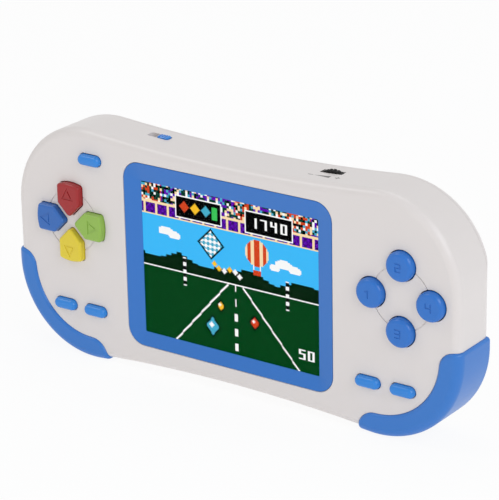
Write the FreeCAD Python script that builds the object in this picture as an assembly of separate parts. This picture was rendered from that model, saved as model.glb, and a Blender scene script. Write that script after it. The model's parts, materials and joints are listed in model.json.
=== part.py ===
import FreeCAD, Part
import math
import os

# Handheld game console with a colour screen, a direction cluster on the left and four round buttons on
# the right. It stands upright on its two corner grips.
# Millimetres. X runs to the right seen from the front, Y from the front to the back, Z up.
# The origin lies on the standing surface, under the middle of the console.
# Front view places are given from the middle of the body, and depths from the front face.

V = FreeCAD.Vector

# Sizes for the making: how far cutters run past a face, how far joined pieces reach into each other,
# and how near a place counts as the same
beyond = 1.0
past_all = 10.0
overlap = 0.5
near = 1e-3

# Body
side_width = 36.75
end_width = 6.6
waist_cut = 1.95
lobe_radius = 24.0
front_round = 2.2
rear_round = 2.4
side_rear_round = 4.4
wall = 2.0
seam_gap = 0.06
tongue_length = 1.6
tongue_thickness = 1.0
fit_gap = 0.1

# Corner grips
grip_side_proud = 0.7
grip_front_proud = 0.6
grip_recess = 0.8
grip_band_width = 5.5
grip_drop = 1.8
grip_shoulder_radius = 4.6
grip_end_radius = 5.2
grip_front_round = 2.5
grip_lip_round = 0.9
grip_seam = 0.03

# Screen
screen_rise = 0.5
picture_width = 55.2
picture_height = 41.6
picture_drop = 0.75
bezel_side_band = 4.95
bezel_end_band = 4.8
bezel_corner = 5.0
bezel_gap = 0.1
bezel_sunk = 0.15
bezel_thickness = 1.35
bezel_rim = 0.3
bezel_land = 0.15
bezel_window_side_gap = 0.15
bezel_window_end_gap = 0.4
bezel_window_corner = 0.4
bezel_seat_width = 2.9
seat_edge_round = 0.3
bezel_edge_round = 0.1
screen_ledge = 0.5
lens_lap = 1.0
lens_thickness = 0.4
panel_margin = 1.8
panel_thickness = 1.0
backlight_thickness = 0.85
display_wall = 1.0
display_floor = 0.35
display_gap = 0.1
display_rib = 1.0
display_corner = 0.5
ribbon_width = 16.0
ribbon_thickness = 0.3
ribbon_lap = 4.0
ribbon_bend_start = 1.5
ribbon_bend_length = 1.0
ribbon_bend_lap = 0.2
ribbon_drop = 6.0
connector_height = 1.2
connector_width = 2.6
connector_end = 1.0

# Keys
key_travel = 1.0
key_rest_gap = 0.3
key_hole_gap = 0.18
key_proud = 1.9
key_flange_width = 0.8
key_flange_thickness = 0.8
direction_round = 0.75
ring_radius = 8.66
ring_groove_radius = 8.35
ring_groove_width = 0.3
ring_groove_depth = 0.2
cluster_rise = 5.7
direction_inset = 19.0
action_inset = 16.3
shield_half_width = 3.7
shield_tip_radius = 1.9
shield_outer_radius = 11.0
shield_tip_half_width = 0.4
shield_corner = 0.85
arrow_size = 2.2
arrow_line = 0.45
arrow_radius = 7.6
button_radius = 3.9
button_hole_gap = 0.25
button_round = 1.2
number_height = 2.0
number_width = 1.4
number_stroke = 0.35
mark_depth = 0.15
pill_length = 7.1
pill_height = 3.0
pill_proud = 1.6
pill_travel = 0.5
pill_round = 1.15
pill_outer_inset = 15.7
pill_inner_inset = 25.95
pill_row_inset = 13.65
pill_top_inset = 8.1

# Keypads, board and small switches
dome_radius = 2.6
dome_top_radius = 1.7
dome_spare = 1.0
dome_place_radius = 7.2
pad_thickness = 0.8
pad_size = 25.0
pad_corner = 4.0
board_thickness = 1.0
board_margin = 1.5
board_window_gap = 0.8
board_hole_gap = 0.5
switch_body_size = 4.5
switch_body_height = 1.2
switch_tip_radius = 1.0
chip_radius = 6.0
chip_height = 1.4
chip_round = 0.9
chip_rise = 2.0
crystal_length = 9.0
crystal_width = 3.4
crystal_height = 3.2
crystal_rise = -9.5
capacitor_radius = 2.5
capacitor_height = 5.4
capacitor_round = 0.4
capacitor_rise = 15.5
capacitor_pitch = 7.0
board_post_radius = 1.9
board_post_rises = (20.0, -13.5)
board_screw_radius = 0.75
board_screw_length = 2.8
board_screw_head_radius = 1.6
board_screw_head_height = 1.0
board_screw_slot = 0.5

# Batteries and their bay
cell_radius = 5.25
cell_length = 43.7
cell_nub_radius = 1.9
cell_nub_length = 0.8
cell_edge_round = 0.4
cell_pitch = 10.9
cell_gap = 0.15
contact_thickness = 0.4
contact_width = 8.4
contact_spring = 4.6
leaf_width = 3.0
leaf_foot = 3.4
leaf_tip = 0.6
leaf_slant = 0.55
leaf_tip_slant = 0.25
tub_wall = 1.0
tub_corner = 1.0
tub_behind_display = 0.4

# Battery door and the raised panel round it
door_overhang = 2.0
door_seat_gap = 0.1
door_edge_round = 0.4
door_wing = 6.0
door_thickness = 1.2
door_gap = 0.3
door_corner = 3.0
panel_rim = 4.0
panel_chamfer = 0.8
door_screw_inset = 2.9
door_screw_boss = 2.6
door_screw_sunk = 0.75
door_screw_head_height = 0.7
door_screw_length = 5.5
thumb_grooves = 5
thumb_groove_pitch = 2.6
thumb_groove_width = 1.0
thumb_groove_length = 8.0
thumb_groove_depth = 0.4

# Screws
screw_radius = 1.0
screw_fit = 0.02
screw_head_radius = 1.9
screw_head_height = 1.4
screw_head_round = 0.2
screw_hole_radius = 1.2
screw_head_gap = 0.3
boss_radius = 2.5
post_radius = 3.3
boss_from_back = 5.4
post_floor = 1.2
screw_thread = 6.5
cross_width = 0.7
cross_depth = 0.4
cross_reach = 0.62
hole_beyond_screw = 1.0
upper_boss_inset = 4.32
upper_boss_angle = 42.5
lower_boss_inset = 6.6
lower_boss_angle = 17.4
middle_boss = (35.5, 5.2)

# Volume wheel and its control
wheel_inset = 0.2
wheel_thickness = 1.8
wheel_radius = 5.8
wheel_proud = 0.65
wheel_gap = 0.3
wheel_bore_gap = 0.05
wheel_shaft_radius = 1.2
wheel_head_radius = 2.2
wheel_end_gap = 0.35
knurl_count = 30
knurl_radius = 0.32
wheel_edge_chamfer = 0.2
wheel_head_height = 0.8
control_width = 9.0
control_height = 0.75
control_top_gap = 0.35
control_drop = 4.5

# Power slider
slider_inset = 2.0
slider_length = 3.4
slider_width = 2.2
slider_proud = 0.45
slider_travel = 2.8
slider_gap = 0.3
slider_recess = 0.9
slider_stem = 1.4
slider_stem_reach = 2.0
slider_edge_bevel = 0.3
slider_grooves = 3
slider_groove_width = 0.3
slider_groove_depth = 0.2
slider_corner = 0.5
switch_top_gap = 0.2
switch_slot_spare = 0.5
switch_case_length = 8.6
switch_case_width = 3.6
switch_case_height = 3.4

# Speaker
speaker_radius = 11.0
speaker_height = 4.4
speaker_cone_radius = 9.0
speaker_inset = 20.8
speaker_rise = -1.5
speaker_rim = 1.4
speaker_magnet_radius = 6.8
speaker_ring_wall = 1.0
speaker_ring_height = 2.0
speaker_gap = 0.3
cone_thickness = 0.4
cone_sunk = 0.9
cone_cap_radius = 3.0
cone_cap_height = 0.6
grille_hole_radius = 0.8
grille_pitch = 2.9
grille_rings = 2
lead_radius = 0.5
lead_pitch = 4.0

# Worked out from the sizes above
bezel_width = picture_width + 2 * bezel_side_band
bezel_height = picture_height + 2 * bezel_end_band
body_width = bezel_width + 2 * side_width
body_height = bezel_height + 2 * end_width
half_width = body_width / 2
half_height = body_height / 2
lobe_x = half_width - lobe_radius
lobe_z = half_height - lobe_radius
waist_rise = half_height - waist_cut - lobe_z
waist_radius = (lobe_x**2 + waist_rise**2 - lobe_radius**2) / (2 * (lobe_radius - waist_rise))
grip_inner_radius = lobe_radius - grip_band_width
centre_z = half_height + grip_side_proud
wheel_x = picture_width / 2 - wheel_inset
slider_x = slider_inset - picture_width / 2
direction_x = direction_inset - half_width
action_x = half_width - action_inset
flange_front = wall + key_rest_gap
flange_back = flange_front + key_flange_thickness
dome_top = flange_back + key_rest_gap
dome_height = key_travel + dome_spare
board_front = dome_top + dome_height + pad_thickness
board_back = board_front + board_thickness
bezel_back = bezel_sunk + bezel_thickness
panel_front = bezel_back + screen_ledge
panel_back = panel_front + panel_thickness
display_back = panel_back + backlight_thickness + display_floor
display_width = picture_width + 2 * (panel_margin + display_gap + display_wall)
display_height = picture_height + 2 * (panel_margin + display_gap + display_wall)
display_z = screen_rise - picture_drop
tub_front = display_back + tub_behind_display
tub_floor = tub_front + tub_wall
cell_depth = tub_floor + cell_gap + cell_radius
body_depth = cell_depth + cell_radius + cell_gap
raised_back = body_depth + door_thickness
parting = body_depth - rear_round - fit_gap
boss_split = body_depth - boss_from_back
total_depth = key_proud + raised_back
front_y = key_proud - total_depth / 2
wheel_depth = board_back + control_height + wheel_end_gap
wheel_back = wheel_depth + wheel_thickness
slider_depth = (wheel_depth + wheel_back) / 2
tub_length = cell_length + cell_nub_length + contact_spring + 2 * (contact_thickness + cell_gap)
tub_height = 2 * cell_pitch + 2 * cell_radius + 2 * cell_gap
door_width = tub_length + 2 * (door_overhang + door_wing)
door_height = tub_height + 2 * door_overhang
door_screw_x = door_width / 2 - door_screw_inset
pills = {
    "option_key_top": (pill_inner_inset - half_width, half_height - pill_top_inset),
    "option_key_left_outer": (pill_outer_inset - half_width, pill_row_inset - half_height),
    "option_key_left_inner": (pill_inner_inset - half_width, pill_row_inset - half_height),
    "option_key_right_inner": (half_width - pill_inner_inset, pill_row_inset - half_height),
    "option_key_right_outer": (half_width - pill_outer_inset, pill_row_inset - half_height),
}
upper_boss_reach = lobe_radius - upper_boss_inset
upper_boss_x = lobe_x + upper_boss_reach * math.cos(math.radians(upper_boss_angle))
upper_boss_z = lobe_z + upper_boss_reach * math.sin(math.radians(upper_boss_angle))
lower_boss_reach = lobe_radius - lower_boss_inset
lower_boss_x = lobe_x + lower_boss_reach * math.cos(math.radians(lower_boss_angle))
lower_boss_z = lobe_z + lower_boss_reach * math.sin(math.radians(lower_boss_angle))
bosses = [
    (-upper_boss_x, upper_boss_z),
    (upper_boss_x, upper_boss_z),
    (-lower_boss_x, -lower_boss_z),
    (lower_boss_x, -lower_boss_z),
    (-middle_boss[0], middle_boss[1] + waist_cut - half_height),
    (middle_boss[0], middle_boss[1] + waist_cut - half_height),
]


def at(x, depth, z):
    """A point from its front view place and its depth behind the front face."""
    return V(x, front_y + depth, centre_z + z)


def flat(x, z):
    """A point of a front view outline."""
    return V(x, 0, centre_z + z)


def arc(start, middle, end):
    return Part.Arc(flat(*start), flat(*middle), flat(*end)).toShape()


def line(start, end):
    return Part.LineSegment(flat(*start), flat(*end)).toShape()


def prism(wire, start, end):
    """The solid of a front view outline between two depths."""
    face = Part.Face(wire)
    face.translate(V(0, front_y + start, 0))
    return face.extrude(V(0, end - start, 0))


def rod(radius, x, z, start, end):
    return Part.makeCylinder(radius, end - start, at(x, start, z), V(0, 1, 0))


def block(x0, x1, start, end, z0, z1):
    return Part.makeBox(x1 - x0, end - start, z1 - z0, at(x0, start, z0))


def rectangle(width, height, corner, x=0.0, z=0.0):
    """A rectangle with round corners, as a front view outline."""
    w = width / 2
    h = height / 2
    k = corner * (1 - math.sqrt(0.5))
    edges = [
        line((x - w + corner, z - h), (x + w - corner, z - h)),
        arc((x + w - corner, z - h), (x + w - k, z - h + k), (x + w, z - h + corner)),
        line((x + w, z - h + corner), (x + w, z + h - corner)),
        arc((x + w, z + h - corner), (x + w - k, z + h - k), (x + w - corner, z + h)),
        line((x + w - corner, z + h), (x - w + corner, z + h)),
        arc((x - w + corner, z + h), (x - w + k, z + h - k), (x - w, z + h - corner)),
        line((x - w, z + h - corner), (x - w, z - h + corner)),
        arc((x - w, z - h + corner), (x - w + k, z - h + k), (x - w + corner, z - h)),
    ]
    return Part.Wire(edges)


def stadium(length, height, x, z):
    """A pill outline lying along X."""
    r = height / 2
    s = length / 2 - r
    edges = [
        line((x - s, z - r), (x + s, z - r)),
        arc((x + s, z - r), (x + s + r, z), (x + s, z + r)),
        line((x + s, z + r), (x - s, z + r)),
        arc((x - s, z + r), (x - s - r, z), (x - s, z - r)),
    ]
    return Part.Wire(edges)


def polygon(points):
    return Part.makePolygon([flat(*p) for p in points] + [flat(*points[0])])


def outline(grow=0.0):
    """The body's outline: four round lobes, straight sides and a hollow waist above and below."""
    r = lobe_radius + grow
    big = waist_radius - grow
    reach = waist_rise + waist_radius
    span = math.hypot(lobe_x, reach)
    tx = lobe_x - r * lobe_x / span
    tz = lobe_z + r * reach / span
    mid = math.atan2(tz - lobe_z, tx - lobe_x) / 2
    mx = lobe_x + r * math.cos(mid)
    mz = lobe_z + r * math.sin(mid)
    side = lobe_x + r
    middle = lobe_z + reach - big
    edges = [
        line((side, -lobe_z), (side, lobe_z)),
        arc((side, lobe_z), (mx, mz), (tx, tz)),
        arc((tx, tz), (0, middle), (-tx, tz)),
        arc((-tx, tz), (-mx, mz), (-side, lobe_z)),
        line((-side, lobe_z), (-side, -lobe_z)),
        arc((-side, -lobe_z), (-mx, -mz), (-tx, -tz)),
        arc((-tx, -tz), (0, -middle), (tx, -tz)),
        arc((tx, -tz), (mx, -mz), (side, -lobe_z)),
    ]
    return Part.Wire(edges)


def top_height(x):
    """Height of the hollow top edge above the body's middle, at a place along it."""
    centre = lobe_z + waist_rise + waist_radius
    return centre - math.sqrt(waist_radius**2 - x**2)


def shield(turn, x, z, grow=0.0):
    """Outline of a direction key: blunt tip at the ring's middle, round outer end."""
    half = shield_half_width + grow
    tip = shield_tip_radius - grow
    slant = shield_tip_radius - shield_tip_half_width - grow * math.sqrt(2)
    outer = shield_outer_radius + grow
    corner = (half, math.sqrt(outer**2 - half**2))
    c = math.cos(math.radians(turn))
    s = math.sin(math.radians(turn))

    def put(u, v):
        return (x + u * c - v * s, z + u * s + v * c)

    points = [(tip - slant, tip), (half, half + slant), corner]
    right = [put(*p) for p in points]
    left = [put(-u, v) for u, v in points]
    edges = [
        line(left[0], right[0]),
        line(right[0], right[1]),
        line(right[1], right[2]),
        arc(right[2], put(0, outer), left[2]),
        line(left[2], left[1]),
        line(left[1], left[0]),
    ]
    return Part.Wire(edges)


def edges_at(shape, depth):
    """The edges that lie in the plane at a depth."""
    y = front_y + depth
    found = []
    for edge in shape.Edges:
        box = edge.BoundBox
        if abs(box.YMin - y) < near and abs(box.YMax - y) < near:
            found.append(edge)
    return found


def edges_along_depth(shape):
    """The straight edges that run from front to back."""
    found = []
    for edge in shape.Edges:
        box = edge.BoundBox
        if box.XLength < near and box.ZLength < near:
            found.append(edge)
    return found


def edges_along_height(shape):
    found = []
    for edge in shape.Edges:
        box = edge.BoundBox
        if box.XLength < near and box.YLength < near:
            found.append(edge)
    return found


def round_front(shape, depth, radius):
    return shape.makeFillet(radius, edges_at(shape, depth))


def body_solid(grow, start, end, round_radius):
    """The body's form between two depths, with a round front edge."""
    return round_front(prism(outline(grow), start, end), start, round_radius)


def side_space():
    """The space within the body's two sides, seen from above, with its rear corners well rounded."""
    form = block(-half_width, half_width, -past_all, body_depth, -half_height - beyond, half_height + beyond)
    corners = []
    for edge in edges_along_height(form):
        if edge.BoundBox.YMin > front_y:
            corners.append(edge)
    return form.makeFillet(side_rear_round, corners)


def save(name, shape):
    shape = shape.removeSplitter()
    if not shape.isValid():
        raise ValueError(name + " is not valid")
    shape.exportStep("parts/" + name + ".step")
    print(name, len(shape.Solids), "solids", round(shape.Volume, 1), "mm3")


def group(solids):
    return Part.makeCompound(solids)


# Corner grips


def shoulder_pivot():
    """Middle of a grip's round shoulder, seen from the front, for the right grip."""
    reach = grip_inner_radius + grip_shoulder_radius
    return lobe_x + math.sqrt(reach**2 - grip_drop**2), -lobe_z - grip_drop


def grip_zone(side, grow=0.0):
    """The front view area that a grip covers, on the right for side 1 and on the left for side -1."""
    inner = grip_inner_radius - grow
    shoulder = grip_shoulder_radius + grow
    end = grip_end_radius + grow
    far = half_width + past_all
    low = -half_height - past_all
    turn = math.sqrt(0.5)
    pivot_x, pivot_z = shoulder_pivot()
    top = pivot_z + shoulder
    share = inner / (inner + shoulder)
    foot = -lobe_z - inner - end
    points = {
        "top_far": (far, top),
        "top": (pivot_x, top),
        "shoulder": (pivot_x - shoulder * turn, pivot_z + shoulder * turn),
        "inner_top": (lobe_x + share * (pivot_x - lobe_x), -lobe_z - share * grip_drop),
        "inner_middle": (lobe_x + inner * turn, -lobe_z - inner * turn),
        "inner_low": (lobe_x, -lobe_z - inner),
        "end_middle": (lobe_x - end * turn, foot + end * turn),
        "end_low": (lobe_x - end, foot),
        "low": (lobe_x - end, low),
        "low_far": (far, low),
    }
    p = {name: (side * x, z) for name, (x, z) in points.items()}
    edges = [
        line(p["top_far"], p["top"]),
        arc(p["top"], p["shoulder"], p["inner_top"]),
        arc(p["inner_top"], p["inner_middle"], p["inner_low"]),
        arc(p["inner_low"], p["end_middle"], p["end_low"]),
        line(p["end_low"], p["low"]),
        line(p["low"], p["low_far"]),
        line(p["low_far"], p["top_far"]),
    ]
    return prism(Part.Wire(edges), -past_all, parting - seam_gap)


def grip_core():
    """What stays of the front shell under the grips."""
    return body_solid(-grip_recess, grip_recess, raised_back, front_round - grip_recess)


def grip(side):
    pad = body_solid(grip_side_proud, -grip_front_proud, parting - seam_gap, grip_front_round)
    pad = pad.common(grip_zone(side, -grip_seam))
    zone_edges = []
    for edge in pad.Edges:
        middle = edge.valueAt((edge.FirstParameter + edge.LastParameter) / 2)
        inside = middle.y < front_y + parting - seam_gap - near
        if inside and on_zone_edge(side, middle):
            zone_edges.append(edge)
    pad = pad.makeFillet(grip_lip_round, zone_edges)
    return pad.cut(grip_core())


def on_zone_edge(side, point):
    """True where a point of the pad lies on the boundary of the grip's area."""
    x = side * point.x
    z = point.z - centre_z
    inner = grip_inner_radius + grip_seam
    shoulder = grip_shoulder_radius - grip_seam
    end = grip_end_radius - grip_seam
    pivot_x, pivot_z = shoulder_pivot()
    on_top = abs(z - pivot_z - shoulder) < near
    on_foot = abs(x - lobe_x + end) < near
    from_lobe = abs(math.hypot(x - lobe_x, z + lobe_z) - inner) < near
    from_pivot = abs(math.hypot(x - pivot_x, z - pivot_z) - shoulder) < near
    from_end = abs(math.hypot(x - lobe_x, z + lobe_z + inner + end) - end) < near
    return on_top or on_foot or from_lobe or from_pivot or from_end


# Front shell


def key_openings():
    """Cutters for every key opening."""
    cutters = []
    for turn in (0, 90, 180, 270):
        wire = shield(turn, direction_x, cluster_rise, key_hole_gap)
        hole = prism(wire, -beyond, wall + beyond)
        cutters.append(hole.makeFillet(shield_corner + key_hole_gap, edges_along_depth(hole)))
    for x, z in ring_places(action_x, ring_radius):
        cutters.append(rod(button_radius + button_hole_gap, x, z, -beyond, wall + beyond))
    for x, z in pills.values():
        wire = stadium(pill_length + 2 * key_hole_gap, pill_height + 2 * key_hole_gap, x, z)
        cutters.append(prism(wire, -beyond, wall + beyond))
    return cutters


def ring_grooves():
    cutters = []
    for x in (direction_x, action_x):
        half = ring_groove_width / 2
        deeper = ring_groove_depth + beyond
        outer = rod(ring_groove_radius + half, x, cluster_rise, -beyond, ring_groove_depth)
        inner = rod(ring_groove_radius - half, x, cluster_rise, -2 * beyond, deeper)
        cutters.append(outer.cut(inner))
    return cutters


def bezel_seat():
    """The recess that the bezel lies in, up to past the front face."""
    width = bezel_width + 2 * bezel_gap
    height = bezel_height + 2 * bezel_gap
    return prism(rectangle(width, height, bezel_corner + bezel_gap, 0, screen_rise), -beyond, bezel_back)


def cut_bezel_seat(shell):
    """Cut the bezel's seat into the plain shell and round the edge about it."""
    seat = bezel_seat()
    shell = shell.cut(seat)
    room = seat.BoundBox
    room.enlarge(near)
    rim = [edge for edge in edges_at(shell, 0) if room.isInside(edge.BoundBox)]
    return shell.makeFillet(seat_edge_round, rim)


def screen_cutters():
    """The window through the bezel's seat and the display's pocket behind it."""
    window_width = bezel_width - 2 * bezel_seat_width
    window_height = bezel_height - 2 * bezel_seat_width
    window = rectangle(window_width, window_height, display_corner, 0, screen_rise)
    pocket = display_room(display_gap)
    return [
        prism(window, 0, wall + beyond),
        prism(pocket, panel_front, wall + beyond),
    ]


def display_room(grow):
    """The display's outline, grown on every side."""
    return rectangle(display_width + 2 * grow, display_height + 2 * grow, display_corner, 0, display_z)


def display_ribs():
    """A low frame inside the front shell that holds the display."""
    frame = prism(display_room(display_gap + display_rib), wall - overlap, display_back)
    return frame.cut(prism(display_room(display_gap), wall - beyond, display_back + beyond))


def board_posts():
    """Places of the posts that the board is screwed to, beside the display."""
    x = display_width / 2 + display_gap + display_rib + board_post_radius - overlap
    return [(side * x, rise) for rise in board_post_rises for side in (-1, 1)]


def wheel_place():
    """Height of the volume wheel's axis."""
    return top_height(wheel_x) + wheel_proud - wheel_radius


def slider_floor():
    """Height of the floor of the power slider's recess."""
    return top_height(slider_x) - slider_recess


def slider_room(half_length, half_span, low, high):
    """The space that a piece of the slider sweeps on its way, with its running gap."""
    long = half_length + slider_gap
    wide = half_span + slider_gap
    start = slider_x - long - slider_travel
    return block(start, slider_x + long, slider_depth - wide, slider_depth + wide, low, high)


def top_cutters():
    """Slots in the top wall for the wheel and the power slider."""
    wheel_room = wheel_radius + wheel_gap
    wheel_slot = rod(wheel_room, wheel_x, wheel_place(), wheel_depth - wheel_gap, wheel_back + wheel_gap)
    above = half_height + beyond
    recess = slider_room(slider_length / 2, slider_width / 2, slider_floor(), above)
    recess = recess.makeFillet(slider_corner + slider_gap, edges_along_height(recess))
    below = slider_floor() - 2 * wall
    stem_slot = slider_room(slider_stem / 2, slider_stem / 2, below, slider_floor() + beyond)
    return [wheel_slot, recess, stem_slot]


def front_shell():
    shell = body_solid(0, 0, parting - seam_gap, front_round).common(side_space())
    shell = cut_bezel_seat(shell)
    shell = shell.cut(prism(outline(-wall), wall, parting + beyond))
    core = grip_core()
    for side in (-1, 1):
        shell = shell.cut(grip_zone(side).cut(core))
    shell = shell.fuse(display_ribs())
    for x, z in bosses:
        shell = shell.fuse(rod(boss_radius, x, z, wall - overlap, boss_split).common(core))
    for x, z in board_posts():
        shell = shell.fuse(rod(board_post_radius, x, z, wall - overlap, board_front))
    shell = shell.cut(group(key_openings() + ring_grooves() + screen_cutters() + top_cutters()))
    for x, z in bosses:
        start = boss_split - screw_thread - hole_beyond_screw
        shell = shell.cut(rod(screw_radius, x, z, start, boss_split + beyond))
    for x, z in board_posts():
        start = board_front - board_screw_length - hole_beyond_screw
        shell = shell.cut(rod(board_screw_radius, x, z, start, board_front + beyond))
    return shell


# Rear shell


def raised_panel():
    """The raised panel that the battery door lies in."""
    width = door_width + 2 * (door_gap + panel_rim)
    height = door_height + 2 * (door_gap + panel_rim)
    wire = rectangle(width, height, door_corner + panel_rim)
    panel = prism(wire, body_depth - overlap, raised_back)
    return panel.makeChamfer(panel_chamfer, edges_at(panel, raised_back))


def tub(grow, start, end):
    wire = rectangle(tub_length + 2 * grow, tub_height + 2 * grow, tub_corner + grow)
    return prism(wire, start, end)


def grille_places():
    """Holes of the speaker grille, in rings about the middle one."""
    places = [(0.0, 0.0)]
    for ring in range(1, grille_rings + 1):
        for k in range(6 * ring):
            a = 2 * math.pi * k / (6 * ring)
            places.append((ring * grille_pitch * math.cos(a), ring * grille_pitch * math.sin(a)))
    return places


def speaker_place():
    return (half_width - speaker_inset, speaker_rise)


def speaker_ring():
    """The low round wall that the speaker sits in."""
    x, z = speaker_place()
    inner = speaker_radius + speaker_gap
    floor = body_depth - wall
    ring = rod(inner + speaker_ring_wall, x, z, floor - speaker_ring_height, floor + overlap)
    return ring.cut(rod(inner, x, z, floor - speaker_ring_height - beyond, floor + beyond))


def rear_shell():
    shell = prism(outline(), parting, body_depth)
    shell = shell.makeFillet(rear_round, edges_at(shell, body_depth)).common(side_space())
    floor = body_depth - wall
    shell = shell.cut(prism(outline(-wall), parting - beyond, floor))
    tongue = prism(outline(-wall - fit_gap), parting - tongue_length, floor + overlap)
    tongue = tongue.cut(prism(outline(-wall - fit_gap - tongue_thickness), 0, body_depth))
    shell = shell.fuse(tongue)
    shell = shell.fuse(raised_panel())
    shell = shell.fuse(tub(tub_wall, tub_front, floor + overlap))
    inside = prism(outline(-wall - fit_gap), 0, body_depth)
    for x, z in bosses:
        shell = shell.fuse(rod(post_radius, x, z, boss_split, floor + overlap).common(inside))
    door_boss_front = body_depth - door_screw_length - hole_beyond_screw
    for x in (-door_screw_x, door_screw_x):
        shell = shell.fuse(rod(door_screw_boss, x, 0, door_boss_front, floor + overlap))
    shell = shell.fuse(speaker_ring())
    cutters = [tub(0, tub_floor, raised_back + beyond)]
    door = rectangle(door_width + 2 * door_gap, door_height + 2 * door_gap, door_corner + door_gap)
    cutters.append(prism(door, body_depth, raised_back + beyond))
    head_room = screw_head_radius + screw_head_gap
    for x, z in bosses:
        cutters.append(rod(screw_hole_radius, x, z, boss_split - beyond, body_depth + beyond))
        cutters.append(rod(head_room, x, z, boss_split + post_floor, body_depth + beyond))
    for x in (-door_screw_x, door_screw_x):
        cutters.append(rod(screw_hole_radius, x, 0, body_depth - door_screw_length, body_depth + beyond))
    x, z = speaker_place()
    for dx, dz in grille_places():
        cutters.append(rod(grille_hole_radius, x + dx, z + dz, floor - beyond, body_depth + beyond))
    return shell.cut(group(cutters))


def battery_door():
    door = prism(rectangle(door_width, door_height, door_corner), body_depth + door_seat_gap, raised_back)
    door = door.makeFillet(door_edge_round, edges_at(door, raised_back))
    cutters = []
    above = raised_back + beyond
    seat = raised_back - door_screw_sunk
    for x in (-door_screw_x, door_screw_x):
        cutters.append(rod(screw_hole_radius, x, 0, body_depth - beyond, above))
        cutters.append(rod(screw_head_radius + screw_head_gap, x, 0, seat, above))
    half = thumb_groove_width / 2
    reach = thumb_groove_length / 2
    floor = raised_back - thumb_groove_depth
    for k in range(thumb_grooves):
        x = (k - (thumb_grooves - 1) / 2) * thumb_groove_pitch
        cutters.append(block(x - half, x + half, floor, above, -reach, reach))
    return door.cut(group(cutters))


def screw(x, z, seat, length, head_height):
    """A cross head screw with its head behind its seat and its shank in front of it."""
    top = seat + head_height
    head = rod(screw_head_radius, x, z, seat, top)
    head = head.makeFillet(screw_head_round, edges_at(head, top))
    body = head.fuse(rod(screw_radius - screw_fit, x, z, seat - length, seat + head_height / 2))
    arm = cross_reach * screw_head_radius
    half = cross_width / 2
    across = block(x - arm, x + arm, top - cross_depth, top + beyond, z - half, z + half)
    up = block(x - half, x + half, top - cross_depth, top + beyond, z - arm, z + arm)
    return body.cut(across).cut(up)


def case_screws():
    seat = boss_split + post_floor
    length = screw_thread + post_floor
    return group([screw(x, z, seat, length, screw_head_height) for x, z in bosses])


def door_screws():
    seat = raised_back - door_screw_sunk
    sides = (-door_screw_x, door_screw_x)
    return group([screw(x, 0, seat, door_screw_length, door_screw_head_height) for x in sides])


def board_screws():
    solids = []
    end = board_back + board_screw_head_height
    for x, z in board_posts():
        head = rod(board_screw_head_radius, x, z, board_back, end)
        head = head.makeFillet(screw_head_round, edges_at(head, end))
        shank = rod(board_screw_radius - screw_fit, x, z, board_front - board_screw_length, end - overlap)
        reach = cross_reach * board_screw_head_radius
        half = board_screw_slot / 2
        slot = block(x - reach, x + reach, end - board_screw_slot, end + beyond, z - half, z + half)
        solids.append(head.fuse(shank).cut(slot))
    return group(solids)


# Screen


def bezel_window():
    width = picture_width + 2 * bezel_window_side_gap
    height = picture_height + 2 * bezel_window_end_gap
    return rectangle(width, height, bezel_window_corner, 0, display_z)


def screen_bezel():
    """The frame round the picture, whose face slopes down to the window."""
    wire = rectangle(bezel_width, bezel_height, bezel_corner, 0, screen_rise)
    bezel = prism(wire, bezel_sunk, bezel_back)
    bezel = bezel.makeFillet(bezel_edge_round, edges_at(bezel, bezel_sunk))
    width = bezel_width - 2 * bezel_rim
    height = bezel_height - 2 * bezel_rim
    wide = rectangle(width, height, bezel_corner - bezel_rim, 0, screen_rise)
    wide.translate(V(0, front_y + bezel_sunk, 0))
    narrow = bezel_window()
    narrow.translate(V(0, front_y + bezel_back - bezel_land, 0))
    slope = Part.makeLoft([wide, narrow], True, True)
    return bezel.cut(slope).cut(prism(bezel_window(), 0, bezel_back + beyond))


def screen_lens():
    """The clear plate bonded behind the bezel's window."""
    width = picture_width + 2 * lens_lap
    height = picture_height + 2 * lens_lap
    wire = rectangle(width, height, display_corner, 0, display_z)
    return prism(wire, bezel_back, bezel_back + lens_thickness)


def panel_outline(grow=0.0):
    width = picture_width + 2 * (panel_margin + grow)
    height = picture_height + 2 * (panel_margin + grow)
    return rectangle(width, height, display_corner, 0, display_z)


def display_panel():
    return prism(panel_outline(), panel_front, panel_back)


def backlight():
    return prism(panel_outline(), panel_back, panel_back + backlight_thickness)


def display_frame():
    tray = prism(display_room(0), panel_front, display_back)
    return tray.cut(prism(panel_outline(display_gap), 0, panel_back + backlight_thickness))


def ribbon_top():
    return display_z - display_height / 2 + ribbon_lap


def display_ribbon():
    """Flat cable from the display's back to the connector on the board."""
    top = ribbon_top()
    low = top - ribbon_drop
    start = display_back
    end = board_front - connector_height
    t = ribbon_thickness
    bend = top - ribbon_bend_start
    level = bend - ribbon_bend_length
    side = [
        (start, top),
        (start, bend),
        (end - t, level),
        (end - t, low),
        (end, low),
        (end, level + ribbon_bend_lap),
        (start + t, bend + ribbon_bend_lap),
        (start + t, top),
    ]
    points = [at(-ribbon_width / 2, d, z) for d, z in side]
    wire = Part.makePolygon(points + [points[0]])
    return Part.Face(wire).extrude(V(ribbon_width, 0, 0))


# Keys


def triangle(turn, x, z, size):
    points = []
    for k in range(3):
        a = math.radians(turn + 90 + 120 * k)
        points.append((x + size * math.cos(a), z + size * math.sin(a)))
    return polygon(points)


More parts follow.
